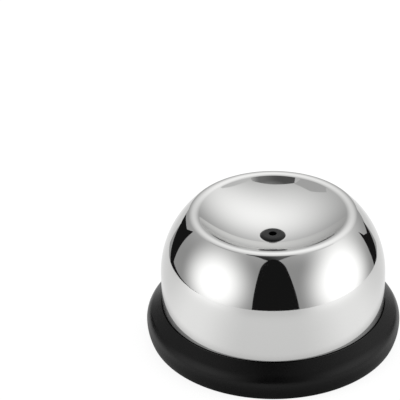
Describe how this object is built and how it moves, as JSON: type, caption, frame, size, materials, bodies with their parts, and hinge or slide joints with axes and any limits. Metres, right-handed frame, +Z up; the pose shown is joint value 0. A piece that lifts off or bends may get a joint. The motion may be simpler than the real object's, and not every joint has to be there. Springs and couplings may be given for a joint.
{
  "type": "egg piercer",
  "caption": "Press-down egg piercer: a polished steel dome with a dish sinks on a spring into a black rubber foot ring, and a needle comes up through a bush in the dish.",
  "frame": {"origin": "on the table, in the middle of the foot ring", "axes": "+Z up along the needle; X along the cross pin; the piercer is round about Z"},
  "size_m": [0.057, 0.057, 0.0306],
  "materials": {
    "polished_steel": "mirror-polished stainless sheet",
    "black_rubber": "satin moulded rubber",
    "black_plastic": "fine spark-eroded moulding",
    "bush_plastic": "satin turned",
    "knob_plastic": "fine spark-eroded moulding",
    "grey_plastic": "plain moulding",
    "bright_steel": "bright zinc or drawn steel",
    "spring_steel": "drawn wire"
  },
  "bodies": {
    "base": {"base_ring": "black_rubber", "base_plate": "black_plastic", "knob_retainer": "black_plastic", "retainer_screws": "bright_steel", "slider_clip": "bright_steel", "return_spring": "spring_steel"},
    "dome": {"dome_shell": "polished_steel", "dome_slider": "grey_plastic", "needle_bush": "bush_plastic", "bush_push_nut": "bright_steel"},
    "lock": {"lock_knob": "knob_plastic", "knob_o_ring": "black_rubber"},
    "needle_set": {"needle": "bright_steel", "needle_carrier": "grey_plastic", "cross_pin": "bright_steel"}
  },
  "joints": [
    {"name": "dome_press", "type": "slide", "parent": "base", "child": "dome", "axis": [0, 0, -1], "range_m": [0, 0.004], "stiffness_N_per_m": 1200, "springref_m": -0.005, "deforming": ["return_spring"]},
    {"name": "lock_turn", "type": "hinge", "parent": "base", "child": "lock", "pos_m": [0, 0, 0.002], "axis": [0, 0, 1], "range_deg": [0, 90]},
    {"name": "needle_draw", "type": "slide", "parent": "base", "child": "needle_set", "axis": [0, 0, -1], "range_m": [0, 0.0036]}
  ],
  "couplings": [
    {"joint": "lock_turn", "follows": "needle_draw", "rad_per_m": 436.3}
  ]
}
